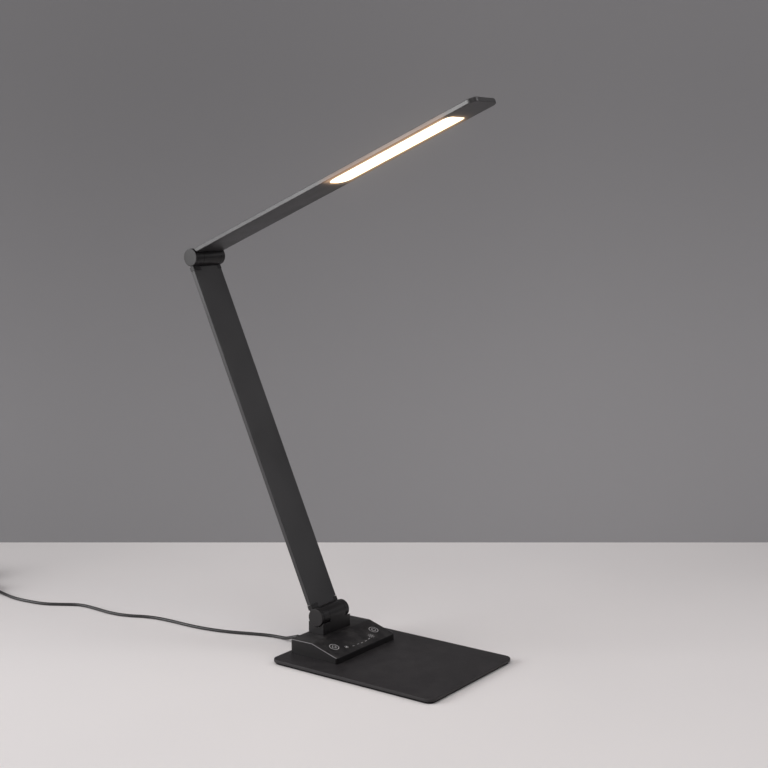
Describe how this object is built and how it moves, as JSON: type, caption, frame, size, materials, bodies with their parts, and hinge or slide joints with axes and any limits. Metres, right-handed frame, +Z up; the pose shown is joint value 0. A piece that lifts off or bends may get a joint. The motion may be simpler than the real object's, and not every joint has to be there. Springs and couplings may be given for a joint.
{
  "type": "desk lamp",
  "caption": "Folding desk lamp with a flat two-section arm on friction hinges, a slim light head, a touch control housing and a weighted plate base with a corded adapter.",
  "frame": {"origin": "centre of the base pad's underside, on the surface that the lamp stands on", "axes": "+X forward, the way the head points; +Y to the lamp's left; +Z up"},
  "size_m": [0.7306, 0.1813, 0.5262],
  "materials": {
    "plate_paint": "fine matte powder coat on steel",
    "pad_foam": "closed-cell foam",
    "housing_plastic": "fine spark-eroded satin",
    "hinge_paint": "satin black painted die casting",
    "bar_anodised": "matte black anodised",
    "black_screws": "black oxide",
    "screw_steel": "zinc plated",
    "washer_brass": "plain",
    "cord_rubber": "satin PVC jacket",
    "circuit_board": "solder mask",
    "reflector_sheet": "white film",
    "clear_acrylic": "polished",
    "led_phosphor": "potted",
    "diffuser_glow": "opal satin",
    "adapter_plastic": "satin",
    "pin_nickel": "nickel plated"
  },
  "bodies": {
    "base": {"base_plate": "plate_paint", "base_pad": "pad_foam", "control_housing": "housing_plastic", "touch_board": "circuit_board", "touch_pads": "pad_foam", "housing_screws": "screw_steel", "base_bracket": "hinge_paint", "bracket_screws": "screw_steel", "cord_grommet": "cord_rubber", "power_lead": "cord_rubber", "lower_friction_washers": "washer_brass", "power_cord": "cord_rubber", "cord_coil": "cord_rubber", "cord_tail": "cord_rubber", "adapter_relief": "cord_rubber", "adapter_front_shell": "adapter_plastic", "adapter_rear_shell": "adapter_plastic", "adapter_pins": "pin_nickel", "adapter_board": "circuit_board"},
    "arm": {"arm_bar": "bar_anodised", "arm_screws": "black_screws", "lower_fork": "hinge_paint", "upper_fork": "hinge_paint", "hinge_bolts": "screw_steel", "hinge_nuts": "screw_steel", "disc_springs": "screw_steel", "near_hinge_caps": "hinge_paint", "far_hinge_caps": "hinge_paint", "arm_lead": "cord_rubber"},
    "head": {"head_bar": "bar_anodised", "head_lug": "hinge_paint", "head_screws": "black_screws", "upper_friction_washers": "washer_brass", "reflector": "reflector_sheet", "light_guide": "clear_acrylic", "led_strip": "circuit_board", "led_chips": "led_phosphor", "diffuser": "diffuser_glow", "head_lead": "cord_rubber"}
  },
  "joints": [
    {"name": "lower_hinge", "type": "hinge", "parent": "base", "child": "arm", "pos_m": [-0.076, 0, 0.0356], "axis": [0, 1, 0], "range_deg": [-15, 114.65]},
    {"name": "elbow_hinge", "type": "hinge", "parent": "arm", "child": "head", "pos_m": [-0.23407, 0, 0.38006], "axis": [0, 1, 0], "range_deg": [-92, 87.8]}
  ]
}
